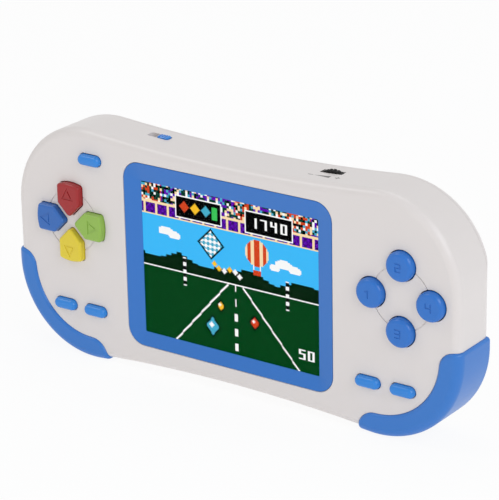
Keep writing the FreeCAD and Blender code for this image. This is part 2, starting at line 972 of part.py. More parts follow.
def direction_key(turn):
    cap = prism(shield(turn, direction_x, cluster_rise), -key_proud, flange_front + overlap)
    cap = cap.makeFillet(shield_corner, edges_along_depth(cap))
    cap = round_front(cap, -key_proud, direction_round)
    flange = prism(shield(turn, direction_x, cluster_rise, key_flange_width), flange_front, flange_back)
    a = math.radians(turn + 90)
    x = direction_x + arrow_radius * math.cos(a)
    z = cluster_rise + arrow_radius * math.sin(a)
    mark = prism(triangle(turn, x, z, arrow_size), -key_proud - beyond, mark_depth - key_proud)
    kept = prism(triangle(turn, x, z, arrow_size - 2 * arrow_line), -key_proud - 2 * beyond, 0)
    return cap.fuse(flange).cut(mark.cut(kept))


def stroke(x, z, points):
    """A number's stroke, as a cutter of round-ended bars through a few points."""
    half = number_stroke / 2
    front = -key_proud - beyond
    back = mark_depth - key_proud
    bars = [rod(half, x + u, z + v, front, back) for u, v in points]
    for (x0, z0), (x1, z1) in zip(points, points[1:]):
        length = math.hypot(x1 - x0, z1 - z0)
        nx = -(z1 - z0) / length * half
        nz = (x1 - x0) / length * half
        corners = [(x0 + nx, z0 + nz), (x1 + nx, z1 + nz), (x1 - nx, z1 - nz), (x0 - nx, z0 - nz)]
        bars.append(prism(polygon([(x + u, z + v) for u, v in corners]), front, back))
    return bars[0].multiFuse(bars[1:])


def number_points(number):
    h = number_height / 2
    w = number_width / 2
    forms = {
        1: [[(-w, h / 2), (0, h), (0, -h)]],
        2: [[(-w, h), (w, h), (w, 0), (-w, 0), (-w, -h), (w, -h)]],
        3: [[(-w, h), (w, h), (w, -h), (-w, -h)], [(-w, 0), (w, 0)]],
        4: [[(-w, h), (-w, 0), (w, 0)], [(w, h), (w, -h)]],
    }
    return forms[number]


def action_button(number, x, z):
    cap = rod(button_radius, x, z, -key_proud, flange_front + overlap)
    cap = round_front(cap, -key_proud, button_round)
    key = cap.fuse(rod(button_radius + key_flange_width, x, z, flange_front, flange_back))
    for points in number_points(number):
        key = key.cut(stroke(x, z, points))
    return key


def option_key(x, z):
    cap = prism(stadium(pill_length, pill_height, x, z), -pill_proud, flange_front + overlap)
    cap = round_front(cap, -pill_proud, pill_round)
    wide = 2 * key_flange_width
    flange = prism(stadium(pill_length + wide, pill_height + wide, x, z), flange_front, flange_back)
    return cap.fuse(flange)


# Keypads, board and switches


def dome(x, z):
    """A rubber dome under a key, from the keypad's sheet up to just short of the key."""
    height = dome_height + pad_thickness / 2
    return Part.makeCone(dome_top_radius, dome_radius, height, at(x, dome_top, z), V(0, 1, 0))


def ring_places(centre, radius):
    """Right, top, left and bottom places on a ring of keys."""
    places = []
    for turn in (0, 90, 180, 270):
        a = math.radians(turn)
        places.append((centre + radius * math.cos(a), cluster_rise + radius * math.sin(a)))
    return places


def keypad(centre, radius):
    wire = rectangle(pad_size, pad_size, pad_corner, centre, cluster_rise)
    pad = prism(wire, board_front - pad_thickness, board_front)
    return pad.multiFuse([dome(x, z) for x, z in ring_places(centre, radius)])


def main_board():
    board = prism(outline(-wall - board_margin), board_front, board_back)
    window = 2 * (tub_wall + board_window_gap)
    wire = rectangle(tub_length + window, tub_height + window, tub_corner + board_window_gap)
    cutters = [prism(wire, 0, board_back + beyond)]
    for x, z in bosses:
        cutters.append(rod(boss_radius + board_hole_gap, x, z, 0, board_back + beyond))
    for x, z in board_posts():
        cutters.append(rod(board_screw_radius + board_hole_gap / 2, x, z, 0, board_back + beyond))
    return board.cut(group(cutters))


def option_switches():
    """A small push switch behind each option key."""
    solids = []
    half = switch_body_size / 2
    top = board_front - switch_body_height
    tip = flange_back + pill_travel + key_rest_gap
    for x, z in pills.values():
        case = block(x - half, x + half, top, board_front, z - half, z + half)
        solids.append(case.fuse(rod(switch_tip_radius, x, z, tip, top + overlap)))
    return group(solids)


def board_parts():
    """The moulded chip, a crystal, two capacitors and the ribbon's connector."""
    chip = rod(chip_radius, direction_x, chip_rise, board_back, board_back + chip_height)
    chip = chip.makeFillet(chip_round, edges_at(chip, board_back + chip_height))
    crystal_wire = stadium(crystal_length, crystal_width, direction_x, crystal_rise)
    solids = [chip, prism(crystal_wire, board_back, board_back + crystal_height)]
    end = board_back + capacitor_height
    for k in (-1, 1):
        can = rod(capacitor_radius, action_x + k * capacitor_pitch / 2, capacitor_rise, board_back, end)
        solids.append(can.makeFillet(capacitor_round, edges_at(can, end)))
    low = ribbon_top() - ribbon_drop
    half = ribbon_width / 2 + connector_end
    front = board_front - connector_height
    solids.append(block(-half, half, front, board_front, low, low + connector_width))
    return group(solids)


# Volume wheel


def volume_control():
    """The turning control behind the board, with the shaft that carries the wheel."""
    z = wheel_place()
    half = control_width / 2
    top = top_height(wheel_x - half) - wall - control_top_gap
    back = board_back + control_height
    case = block(wheel_x - half, wheel_x + half, board_back, back, z - control_drop, top)
    head_front = wheel_back + wheel_end_gap
    shaft = rod(wheel_shaft_radius, wheel_x, z, board_back, head_front + wheel_head_height)
    head = rod(wheel_head_radius, wheel_x, z, head_front, head_front + wheel_head_height)
    return case.fuse(shaft).fuse(head)


def volume_wheel():
    z = wheel_place()
    wheel = rod(wheel_radius, wheel_x, z, wheel_depth, wheel_back)
    rims = edges_at(wheel, wheel_depth) + edges_at(wheel, wheel_back)
    wheel = wheel.makeChamfer(wheel_edge_chamfer, rims)
    start = wheel_depth - beyond
    end = wheel_back + beyond
    cutters = [rod(wheel_shaft_radius + wheel_bore_gap, wheel_x, z, start, end)]
    for k in range(knurl_count):
        a = 2 * math.pi * k / knurl_count
        x = wheel_x + wheel_radius * math.cos(a)
        cutters.append(rod(knurl_radius, x, z + wheel_radius * math.sin(a), start, end))
    return wheel.cut(group(cutters))


# Power slider and switch


def slider_block(half_length, half_span, low, high):
    """A block of the slider at rest, about its middle."""
    start = slider_x - half_length
    end = slider_x + half_length
    return block(start, end, slider_depth - half_span, slider_depth + half_span, low, high)


def power_slider():
    top = top_height(slider_x) + slider_proud
    floor = slider_floor() + slider_gap
    knob = slider_block(slider_length / 2, slider_width / 2, floor, top)
    knob = knob.makeFillet(slider_corner, edges_along_height(knob))
    crown = [e for e in knob.Edges if e.BoundBox.ZMin > centre_z + top - near]
    knob = knob.makeChamfer(slider_edge_bevel, crown)
    stem_low = slider_floor() - wall - slider_stem_reach
    key = knob.fuse(slider_block(slider_stem / 2, slider_stem / 2, stem_low, floor + overlap))
    pitch = slider_length / (slider_grooves + 1)
    half = slider_groove_width / 2
    for k in range(slider_grooves):
        x = slider_x - slider_length / 2 + pitch * (k + 1)
        reach = slider_width
        low = top - slider_groove_depth
        groove = block(x - half, x + half, slider_depth - reach, slider_depth + reach, low, top + beyond)
        key = key.cut(groove)
    return key


def power_switch():
    """The switch under the slider, open above for the slider's stem."""
    top = slider_floor() - wall - switch_top_gap
    middle = slider_x - slider_travel / 2
    half = switch_case_length / 2
    back = slider_depth + switch_case_width / 2
    case = block(middle - half, middle + half, board_back, back, top - switch_case_height, top)
    stem_low = slider_floor() - wall - slider_stem_reach
    slot = slider_room(slider_stem / 2, slider_stem / 2, stem_low - switch_slot_spare, top + beyond)
    return case.cut(slot)


# Batteries


def battery_way(k):
    """The cells lie head to tail: 1 points to the right, -1 to the left."""
    return 1 if k % 2 == 0 else -1


def battery(k):
    z = (1 - k) * cell_pitch
    way = battery_way(k)
    tail = -way * (tub_length / 2 - contact_thickness - cell_gap - contact_spring)
    case = Part.makeCylinder(cell_radius, cell_length, at(tail, cell_depth, z), V(way, 0, 0))
    case = case.makeFillet(cell_edge_round, [e for e in case.Edges if e.BoundBox.XLength < near])
    shoulder = tail + way * (cell_length - overlap)
    length = cell_nub_length + overlap
    nub = Part.makeCylinder(cell_nub_radius, length, at(shoulder, cell_depth, z), V(way, 0, 0))
    return case.fuse(nub)


def contact_plate(x, way, z):
    """A flat contact on the tub's end wall at x. way points from the wall into the tub."""
    half = contact_width / 2
    low = min(x, x + way * contact_thickness)
    return block(low, low + contact_thickness, cell_depth - half, cell_depth + half, z - half, z + half)


def contact_leaf(x, way, z):
    """The bent spring of a contact, from its plate to the battery's flat end."""
    t = contact_thickness
    foot = x + way * t
    tip = foot + way * contact_spring
    inner_tip = tip - way * t
    inner_foot = leaf_foot - leaf_slant
    inner = leaf_tip - leaf_tip_slant
    side = [
        (foot, -leaf_foot),
        (tip, -leaf_tip),
        (tip, leaf_tip),
        (foot, leaf_foot),
        (foot, inner_foot),
        (inner_tip, inner),
        (inner_tip, -inner),
        (foot, -inner_foot),
    ]
    points = [at(u, cell_depth - leaf_width / 2, z + v) for u, v in side]
    wire = Part.makePolygon(points + [points[0]])
    return Part.Face(wire).extrude(V(0, leaf_width, 0))


def battery_contacts():
    solids = []
    for k in range(3):
        z = (1 - k) * cell_pitch
        way = battery_way(k)
        tail_wall = -way * tub_length / 2
        solids.append(contact_plate(tail_wall, way, z).fuse(contact_leaf(tail_wall, way, z)))
        solids.append(contact_plate(-tail_wall, -way, z))
    return group(solids)


# Speaker


def speaker_frame():
    """The speaker's pressed basket with its magnet in front."""
    x, z = speaker_place()
    back = body_depth - wall
    basket = rod(speaker_radius, x, z, back - speaker_rim, back)
    magnet = rod(speaker_magnet_radius, x, z, back - speaker_height, back - speaker_rim + overlap / 2)
    hollow = rod(speaker_cone_radius, x, z, back - cone_sunk, back + beyond)
    return basket.fuse(magnet).cut(hollow)


def speaker_cone():
    x, z = speaker_place()
    seat = body_depth - wall - cone_sunk
    sheet = rod(speaker_cone_radius, x, z, seat, seat + cone_thickness)
    ball = (cone_cap_radius**2 + cone_cap_height**2) / (2 * cone_cap_height)
    cap = Part.makeSphere(ball, at(x, seat + cone_thickness + cone_cap_height - ball - cone_thickness, z))
    cap = cap.common(rod(cone_cap_radius + beyond, x, z, seat, seat + cone_thickness + cone_cap_height))
    return sheet.fuse(cap)


def speaker_leads():
    """Two short wires from the speaker's magnet to the board."""
    x, z = speaker_place()
    end = body_depth - wall - speaker_height
    return group([rod(lead_radius, x + k * lead_pitch / 2, z, board_back, end) for k in (-1, 1)])


def main():
    os.makedirs("parts", exist_ok=True)
    save("front_shell", front_shell())
    save("rear_shell", rear_shell())
    save("grip_left", grip(-1))
    save("grip_right", grip(1))
    save("screen_bezel", screen_bezel())
    save("screen_lens", screen_lens())
    save("display_panel", display_panel())
    save("backlight", backlight())
    save("display_frame", display_frame())
    save("display_ribbon", display_ribbon())
    for name, turn in (("up", 0), ("left", 90), ("down", 180), ("right", 270)):
        save("direction_key_" + name, direction_key(turn))
    right, top, left, bottom = ring_places(action_x, ring_radius)
    for number, place in enumerate((left, top, bottom, right), 1):
        save("action_button_" + str(number), action_button(number, *place))
    for name, (x, z) in pills.items():
        save(name, option_key(x, z))
    save("left_keypad", keypad(direction_x, dome_place_radius))
    save("right_keypad", keypad(action_x, ring_radius))
    save("main_board", main_board())
    save("board_parts", board_parts())
    save("board_screws", board_screws())
    save("option_switches", option_switches())
    save("volume_control", volume_control())
    save("volume_wheel", volume_wheel())
    save("power_slider", power_slider())
    save("power_switch", power_switch())
    for k in range(3):
        save("battery_" + str(k + 1), battery(k))
    save("battery_contacts", battery_contacts())
    save("battery_door", battery_door())
    save("door_screws", door_screws())
    save("case_screws", case_screws())
    save("speaker_frame", speaker_frame())
    save("speaker_cone", speaker_cone())
    save("speaker_leads", speaker_leads())


main()
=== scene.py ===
import json
import math

import bmesh
import bpy
from mathutils import Matrix, Vector


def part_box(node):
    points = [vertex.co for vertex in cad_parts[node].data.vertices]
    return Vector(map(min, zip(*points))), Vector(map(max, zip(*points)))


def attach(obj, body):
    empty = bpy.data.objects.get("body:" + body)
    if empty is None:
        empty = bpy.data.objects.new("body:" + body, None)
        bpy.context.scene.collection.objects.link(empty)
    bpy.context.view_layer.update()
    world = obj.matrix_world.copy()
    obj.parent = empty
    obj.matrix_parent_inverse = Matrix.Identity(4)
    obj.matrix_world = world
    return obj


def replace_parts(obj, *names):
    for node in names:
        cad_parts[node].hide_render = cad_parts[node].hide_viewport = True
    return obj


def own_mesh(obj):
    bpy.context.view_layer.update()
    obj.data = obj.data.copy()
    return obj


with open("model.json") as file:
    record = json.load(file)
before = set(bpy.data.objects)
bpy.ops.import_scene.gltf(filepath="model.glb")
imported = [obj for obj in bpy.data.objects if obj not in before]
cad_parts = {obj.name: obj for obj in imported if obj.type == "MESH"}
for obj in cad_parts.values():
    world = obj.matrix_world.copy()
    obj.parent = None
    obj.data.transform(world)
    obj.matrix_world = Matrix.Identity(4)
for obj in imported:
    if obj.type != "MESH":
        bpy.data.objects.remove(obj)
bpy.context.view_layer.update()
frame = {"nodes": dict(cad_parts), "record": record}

# Handheld game console with a lit screen, coloured direction keys, blue buttons and corner grips.
# Metres, in the frame of the solids: X to the right seen from the front, Y to the back, Z up.
mm = 0.001

# Camera, as worked out from the photograph. image_side is the longer side in pixels
image_side = 500
focal_pixels = 2444.9
sensor_side = 36.0
camera_place = Vector((0.3462, -0.47815, 0.2611))
camera_azimuth = 35.75
camera_elevation = 20.7
camera_roll = -1.15


def make_camera():
    """The camera at the photograph's viewing angle."""
    data = bpy.data.cameras.new("camera")
    data.sensor_width = sensor_side
    data.lens = focal_pixels / image_side * sensor_side
    camera = bpy.data.objects.new("camera", data)
    turn = Matrix.Rotation(math.radians(camera_azimuth), 4, "Z")
    tilt = Matrix.Rotation(math.radians(90 - camera_elevation), 4, "X")
    roll = Matrix.Rotation(math.radians(camera_roll), 4, "Z")
    camera.matrix_world = Matrix.Translation(camera_place) @ turn @ tilt @ roll
    bpy.context.scene.collection.objects.link(camera)
    bpy.context.scene.camera = camera


make_camera()


# Shader building. The Mix node's colour sockets have no names of their own
mix_share = 0
mix_first = 6
mix_second = 7
mix_result = 2


class Wire:
    """An output of a shader node. An expression written with it adds Math nodes."""

    def __init__(self, tree, socket):
        self.tree = tree
        self.socket = socket

    def maths(self, operation, *values):
        """The result of a Math node on wires and numbers."""
        node = self.tree.nodes.new("ShaderNodeMath")
        node.operation = operation
        for socket, value in zip(node.inputs, values):
            if isinstance(value, Wire):
                self.tree.links.new(value.socket, socket)
            else:
                socket.default_value = value
        return Wire(self.tree, node.outputs[0])

    def __add__(self, other):
        return self.maths("ADD", self, other)

    def __sub__(self, other):
        return self.maths("SUBTRACT", self, other)

    def __rsub__(self, other):
        return self.maths("SUBTRACT", other, self)

    def __mul__(self, other):
        return self.maths("MULTIPLY", self, other)

    def __truediv__(self, other):
        return self.maths("DIVIDE", self, other)

    def __lt__(self, other):
        return self.maths("LESS_THAN", self, other)

    def __gt__(self, other):
        return self.maths("GREATER_THAN", self, other)

    def __mod__(self, other):
        return self.maths("FLOORED_MODULO", self, other)

    def __or__(self, other):
        return self.maths("MAXIMUM", self, other)

    def __abs__(self):
        return self.maths("ABSOLUTE", self)

    def floor(self):
        return self.maths("FLOOR", self)

    def root(self):
        return self.maths("SQRT", self)

    __radd__ = __add__
    __rmul__ = __mul__


class Finish:
    """A material and the nodes that make it."""

    def __init__(self, name):
        self.material = bpy.data.materials.new(name)
        self.material.use_nodes = True
        self.tree = self.material.node_tree
        self.tree.nodes.clear()
        self.place = self.node("TexCoord", out="Object")
        parts = self.node("SeparateXYZ", sockets={"Vector": self.place}, out=None)
        self.x, self.y, self.z = [Wire(self.tree, parts.outputs[k]) for k in range(3)]

    def node(self, kind, settings=None, sockets=None, out=0):
        """A new node with its settings and sockets.

        Gives one of its outputs, or the node itself where out is None.
        """
        node = self.tree.nodes.new("ShaderNode" + kind)
        for name, value in (settings or {}).items():
            setattr(node, name, value)
        for name, value in (sockets or {}).items():
            socket = node.inputs[name]
            if isinstance(value, Wire):
                self.tree.links.new(value.socket, socket)
            else:
                socket.default_value = value
        return node if out is None else Wire(self.tree, node.outputs[out])

    def noise(self, size, detail=2.0, stretch=(1, 1, 1)):
        """Soft noise from 0 to 1 in lumps of about this size, smaller along a stretched axis."""
        scale = [s / size for s in stretch]
        place = self.node("Mapping", sockets={"Vector": self.place, "Scale": scale})
        return self.node("TexNoise", sockets={"Vector": place, "Scale": 1.0, "Detail": detail})

    def mix(self, share, first, second):
        """A colour between two colours."""
        first, second = self.colour(first), self.colour(second)
        sockets = {mix_share: share, mix_first: first, mix_second: second}
        return self.node("Mix", {"data_type": "RGBA"}, sockets, mix_result)

    def colour(self, value):
        """A socket's value for a colour, which may be a wire already."""
        return value if isinstance(value, Wire) else opaque(value)

    def inside(self, value, low, high):
        """1 where value lies between low and high."""
        return (value > low) * (value < high)

    def bump(self, height, distance):
        """A normal raised by up to distance where height is 1."""
        return self.node("Bump", sockets={"Height": height, "Distance": distance, "Strength": 1.0})

    def surface(self, colour, roughness, normal=None, **others):
        """Ends the material in a Principled shader. others holds its further sockets by name."""
        sockets = {"Base Color": self.colour(colour), "Roughness": roughness}
        for name, value in others.items():
            sockets[name.replace("_", " ").title().replace("Ior", "IOR")] = value
        if normal is not None:
            sockets["Normal"] = normal
        shader = self.node("BsdfPrincipled", sockets=sockets)
        self.node("OutputMaterial", sockets={"Surface": shader}, out=None)
        return self.material


def opaque(colour):
    """A colour with the alpha that a socket asks for."""
    return (*colour, 1.0)


def as_light(value):
    """The light of a screen's value from 0 to 255."""
    share = value / 255
    return ((share + 0.055) / 1.055) ** 2.4 if value > 10 else share / 12.92


def shade(red, green, blue):
    """A screen's colour as light."""
    return as_light(red), as_light(green), as_light(blue)


def lighter(colour, share):
    """The colour made lighter by a share, or darker by a share below 0."""
    return tuple(min(1.0, v * (1 + share)) for v in colour)


# Finishes

drift_size = 14 * mm
gloss_drift = 0.04


def moulded(
    name, colour, roughness=0.42, grain=0.25 * mm, depth=0.006 * mm, drift=0.04, marks=(), **others
):
    """Moulded plastic or rubber with a fine spark-eroded grain and a slow drift of tone and gloss.

    The marks given are pairs: a place on the surface and the colour laid there. On the shell they are
    print; on the blue keys they are painted light and painted shade.
    """
    f = Finish(name)
    slow = f.noise(drift_size)
    fine = f.noise(grain)
    blend = slow * 0.7 + fine * 0.3
    tone = f.mix(blend, lighter(colour, -drift), lighter(colour, drift))
    for where, mark in marks:
        marked = f.mix(blend, lighter(mark, -drift), lighter(mark, drift))
        tone = f.mix(where(f), tone, marked)
    gloss = roughness - gloss_drift + slow * gloss_drift + fine * gloss_drift
    return f.surface(tone, gloss, f.bump(fine, depth), **others)


def middle(node):
    """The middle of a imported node's box."""
    low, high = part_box(node)
    return (low + high) / 2


# Printed signs on the top face, beside the volume wheel: less, a growing wedge, and more
ink = shade(98, 94, 92)
sign_gap = 2.9 * mm
sign_shift = 0.5 * mm
sign_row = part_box("volume_wheel")[0].y - sign_gap
sign_middle = middle("volume_wheel").x - sign_shift
sign_reach = 4.0 * mm
sign_half = 0.75 * mm
sign_line = 0.16 * mm
wedge_half = 2.4 * mm
wedge_rise = 0.75 * mm
wedge_shift = 0.6 * mm
top_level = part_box("screen_bezel")[1].z


def volume_signs(f):
    """1 on the printed signs."""
    u = f.x - sign_middle
    v = f.y - sign_row
    less = (abs(u + sign_reach) < sign_half) * (abs(v) < sign_line)
    bar = (abs(u - sign_reach) < sign_half) * (abs(v) < sign_line)
    upright = (abs(u - sign_reach) < sign_line) * (abs(v) < sign_half)
    along = u + wedge_shift
    share = (along + wedge_half) / (2 * wedge_half)
    wedge = (abs(along) < wedge_half) * (abs(v) < share * wedge_rise)
    return (less | bar | upright | wedge) * (f.z > top_level)


def option_keys_painted_lighter(f):
    """1 on the five pill-shaped keys, painted lighter: painted light for the light their domed tops
    catch.
    """
    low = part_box("option_key_right_inner")[1].z
    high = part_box("option_key_top")[0].z
    return (f.z < low) | (f.z > high)


def left_key_painted_shade(f):
    """1 on the left direction key, painted darker: painted shade for the dimmer light at the
    console's left end.
    """
    low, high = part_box("direction_key_left")
    return (f.x < high.x) * f.inside(f.z, low.z, high.z)


def clear_plate(name):
    """Clear acrylic over the picture, with a faint wipe of dust."""
    f = Finish(name)
    dust = f.noise(3 * mm, 3.0)
    tone = f.mix(dust, (0.01, 0.012, 0.015), (0.03, 0.035, 0.04))
    return f.surface(tone, 0.06 + dust * 0.04, alpha=0.035)


def brushed(name, colour, roughness=0.34, way=(1, 1, 14)):
    """Metal with fine lines along one way and a slow stain."""
    f = Finish(name)
    lines = f.noise(1.2 * mm, 3.0, way)
    slow = f.noise(5 * mm)
    tone = f.mix(lines * 0.6 + slow * 0.4, lighter(colour, -0.14), lighter(colour, 0.1))
    gloss = roughness - 0.08 + lines * 0.16
    return f.surface(tone, gloss, f.bump(lines, 0.004 * mm), metallic=1.0)


def circuit_board(name):
    """Green solder mask over fine copper lines and round pads."""
    f = Finish(name)
    pitch = 1.27 * mm
    half = 0.45
    bend = f.noise(9 * mm, 1.0)
    across = abs((f.x / pitch + (bend * 3).floor()) % 1.0 - 0.5)
    along = abs((f.z / (2 * pitch) + (bend * 4).floor()) % 1.0 - 0.5)
    lines = ((across < 0.1) * (bend > half)) | ((along < 0.06) * (bend < half))
    u = abs((f.x / (3 * pitch)) % 1.0 - 0.5)
    v = abs((f.z / (3 * pitch)) % 1.0 - 0.5)
    spread = u * u + v * v
    pads = (spread < 0.012) * (spread > 0.003)
    mask = f.mix(f.noise(6 * mm), (0.008, 0.11, 0.035), (0.012, 0.15, 0.05))
    tone = f.mix(lines, mask, (0.03, 0.27, 0.1))
    tone = f.mix(pads, tone, (0.62, 0.5, 0.24))
    return f.surface(tone, 0.34 - pads * 0.08, f.bump(lines | pads, 0.02 * mm))


def components(name):
    """Black moulded parts, with bare metal on the crystal's can and the tops of the capacitors."""
    f = Finish(name)
    crystal_drop = 6 * mm
    can_top = 0.3 * mm
    clear_of_board = 0.1 * mm
    crystal = (f.z < middle("board_parts").z - crystal_drop) * (f.x < 0)
    cans = (f.x > 0) * (f.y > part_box("board_parts")[1].y - can_top)
    metal = (crystal | cans) * (f.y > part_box("main_board")[1].y + clear_of_board)
    grain = f.noise(0.2 * mm)
    plastic = f.mix(grain, (0.012, 0.012, 0.013), (0.03, 0.03, 0.032))
    bare = f.mix(f.noise(1.0 * mm, 3.0, (1, 1, 8)), (0.45, 0.45, 0.46), (0.66, 0.66, 0.66))
    tone = f.mix(metal, plastic, bare)
    return f.surface(tone, 0.5 - metal * 0.2, f.bump(grain, 0.008 * mm), metallic=metal)


def wrapped_cell(name):
    """A cell's plastic wrap: dark, with a copper coloured band round one end and thin rings.

    The middle cell lies the other way round.
    """
    f = Finish(name)
    low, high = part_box("battery_1")
    turned_low, turned_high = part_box("battery_2")
    share = (f.x - low.x) / (high.x - low.x)
    turned = f.inside(f.z, turned_low.z, turned_high.z)
    share = turned * (1 - share) + (1 - turned) * share
    band = f.inside(share, 0.66, 0.965)
    ring = f.inside(share, 0.64, 0.65) | f.inside(share, 0.05, 0.055)
    bare = share > 0.972
    slow = f.noise(6 * mm, 3.0)
    dark = f.mix(slow, (0.012, 0.014, 0.018), (0.022, 0.024, 0.03))
    tone = f.mix(band, dark, f.mix(slow, (0.5, 0.26, 0.12), (0.58, 0.32, 0.15)))
    tone = f.mix(ring, tone, (0.7, 0.7, 0.68))
    tone = f.mix(bare, tone, (0.6, 0.6, 0.58))
    metal = bare | (band * 0.6)
    return f.surface(tone, 0.28 + slow * 0.08, f.bump(slow, 0.01 * mm), metallic=metal)


def flat_cable(name):
    """Amber film with copper lines under it."""
    f = Finish(name)
    pitch = 0.8 * mm
    line = abs((f.x / pitch) % 1.0 - 0.5) < 0.22
    slow = f.noise(4 * mm)
    film = f.mix(slow, (0.34, 0.14, 0.025), (0.42, 0.19, 0.035))
    tone = f.mix(line, film, (0.55, 0.27, 0.09))
    return f.surface(tone, 0.3 + slow * 0.06, f.bump(line, 0.01 * mm))


def light_guide(name):
    """White light guide printed with fine dots."""
    f = Finish(name)
    pitch = 0.9 * mm
    u = (f.x / pitch) % 1.0 - 0.5
    v = (f.z / pitch) % 1.0 - 0.5
    spot = (u * u + v * v) < 0.05
    tone = f.mix(spot, (0.72, 0.74, 0.76), (0.86, 0.87, 0.88))
    return f.surface(tone, 0.3 + f.noise(5 * mm) * 0.08, f.bump(spot, 0.01 * mm))


def pressed_cone(name):
    """Black pressed sheet with low rings about the speaker's middle."""
    f = Finish(name)
    ring_pitch = 1.1 * mm
    u = f.x - middle("speaker_cone").x
    v = f.z - middle("speaker_cone").z
    radius = (u * u + v * v).root()
    ring = abs((radius / ring_pitch) % 1.0 - 0.5)
    fibre = f.noise(0.5 * mm, 4.0)
    tone = f.mix(fibre, (0.012, 0.012, 0.012), (0.04, 0.039, 0.038))
    return f.surface(tone, 0.62 + fibre * 0.15, f.bump(ring + fibre * 0.2, 0.12 * mm))


# The picture, on a grid of square dots. Below window_z, places and sizes are counted in dots

picture_width = 55.2 * mm
picture_height = 41.6 * mm
picture_columns = 160
dot = picture_width / picture_columns
window_x = -picture_width / 2
window_z = middle("screen_lens").z - picture_height / 2
left_end = -8
right_end = 168
horizon = 54
road_middle = 84
gate_low = 44
gate_high = 66
wall_low = 96
wall_high = 106
counter_low = 98
counter_high = 115
sky = shade(64, 190, 255)
field = shade(0, 64, 20)
forest = shade(0, 30, 5)
violet = shade(96, 12, 178)
deep_violet = shade(46, 4, 92)
cream = shade(255, 226, 178)
white = shade(255, 255, 255)
black = shade(0, 0, 0)
coral = shade(214, 70, 32)
aqua = shade(72, 176, 208)
gold = shade(250, 196, 40)
leaf = shade(6, 60, 44)
meter_green = shade(60, 200, 90)
# A cloud and a gem: the place, and the reach from it
clouds = ((20, 84, 7), (28, 82, 6), (128, 78, 8), (138, 76, 6), (120, 75, 5))
kite_bows = ((65, 67), (69, 64), (74, 63), (79, 65), (84, 64), (88, 61))
kite_place = (62, 82)
balloon_place = (104, 83)
basket_half = 3
basket_low = 66
basket_high = 69
rope_high = 73
counters = ((30, 72), (94, 136))
counter_gems = ((38, coral), (48, gold), (58, aqua))
gem_row = 107
meter = (64, 68, 102, 111)
counter_figures = ((99, "1"), (108, "7"), (117, "4"), (126, "0"))
figure_row = 103
corner_figures = ((141, "5"), (149, "0"))
corner_row = 8
gate_posts = (36, 130)
road_gems = ((70, 34, 4.5, gold), (101, 27, 5.5, coral), (62, 16, 7.5, aqua))
# A bar of a figure: its first and last column, and its first and last row
bars = {
    "left": (0, 1, 0, 7),
    "right": (4, 5, 0, 7),
    "upper_left": (0, 1, 4, 7),
    "lower_right": (4, 5, 0, 3),
    "top": (0, 5, 7, 7),
    "middle": (0, 5, 4, 4),
    "foot": (0, 5, 0, 0),
}
figures = {
    "0": ("left", "right", "top", "foot"),
    "1": ("right",),
    "4": ("upper_left", "right", "middle"),
    "5": ("upper_left", "lower_right", "top", "middle", "foot"),
    "7": ("right", "top"),
}


class Picture:
    """The lit picture. u counts dots from the left and v from the bottom."""

    def __init__(self, f):
        self.f = f
        self.u = ((f.x - window_x) / dot).floor()
        self.v = ((f.z - window_z) / dot).floor()
        self.colour = field

    def paint(self, where, colour):
        """Lays a colour over the dots where the first value is 1."""
        self.colour = self.f.mix(where, self.colour, colour)

    def block(self, left, right, low, high):
        """1 in a block of dots, both ends counted."""
        across = self.f.inside(self.u, left - 0.5, right + 0.5)
        return across * self.f.inside(self.v, low - 0.5, high + 0.5)

    def diamond(self, u, v, reach, flat=1.0):
        return (abs(self.u - u) + abs(self.v - v) * flat) < reach

    def disc(self, u, v, reach, flat=1.0):
        across = self.u - u
        along = (self.v - v) * flat
        return (across * across + along * along) < reach * reach

    def figure(self, left, low, sign):
        """A plain figure, eight dots high, built from bars. Upright bars are two dots thick."""
        shape = None
        for name in figures[sign]:
            u0, u1, v0, v1 = bars[name]
            bar = self.block(left + u0, left + u1, low + v0, low + v1)
            shape = bar if shape is None else shape | bar
        return shape


def picture_finish(name):
    """A made-up pixel landscape: flowers, a wall, sky with a kite and clouds, hills and a road."""
    f = Finish(name)
    p = Picture(f)
    step = (p.u / 5).floor()
    hill = horizon + 15 - abs(step % 12 - 6) - abs((step + 4) % 7 - 3)
    p.paint(p.v > horizon, forest)
    p.paint(p.v > hill, sky)
    for u, v, reach in clouds:
        p.paint(p.disc(u, v, reach, 1.8) * (p.v > v - 3), white)
    add_kite(p)
    add_balloon(p)
    add_wall(p)
    add_flowers(p)
    add_counters(p)
    add_road(p)
    lit = {"emission_color": p.colour, "emission_strength": 1.0, "specular_ior_level": 0.0}
    return f.surface(black, 0.55, **lit)


def add_kite(p):
    """A chequered diamond kite with a bent tail of bows."""
    kite = p.diamond(*kite_place, 13)
    squares = ((p.u + p.v) / 4).floor() + ((p.u - p.v) / 4).floor()
    p.paint(kite, white)
    p.paint(kite * ((squares % 2) > 0.5), aqua)
    p.paint(kite * (p.diamond(*kite_place, 11) < 0.5), black)
    for u, v in kite_bows:
        p.paint(p.diamond(u, v, 2.5), gold if u % 2 else white)


def add_balloon(p):
    """A striped balloon with its basket."""
    ball = p.disc(*balloon_place, 10.5)
    p.paint(ball, coral)
    p.paint(ball * ((abs(p.u - balloon_place[0]) / 3).floor() % 2 > 0.5), cream)
    left, right = balloon_place[0] - basket_half, balloon_place[0] + basket_half
    p.paint(p.block(left, right, basket_low, basket_high), coral)
    for u in (left, right):
        p.paint(p.block(u, u, basket_high + 1, rope_high), white)


def add_wall(p):
    """A violet wall with cream posts, a lattice and cream rails."""
    wall = p.block(left_end, right_end, wall_low, wall_high - 2)
    p.paint(wall, violet)
    lattice = ((p.u + p.v) % 5 < 0.5) | ((p.u - p.v) % 5 < 0.5)
    p.paint(wall * lattice, deep_violet)
    p.paint(wall * (p.u % 11 < 1.5), cream)
    foot_rail = p.block(left_end, right_end, wall_low, wall_low)
    p.paint(foot_rail | p.block(left_end, right_end, wall_high - 1, wall_high), cream)


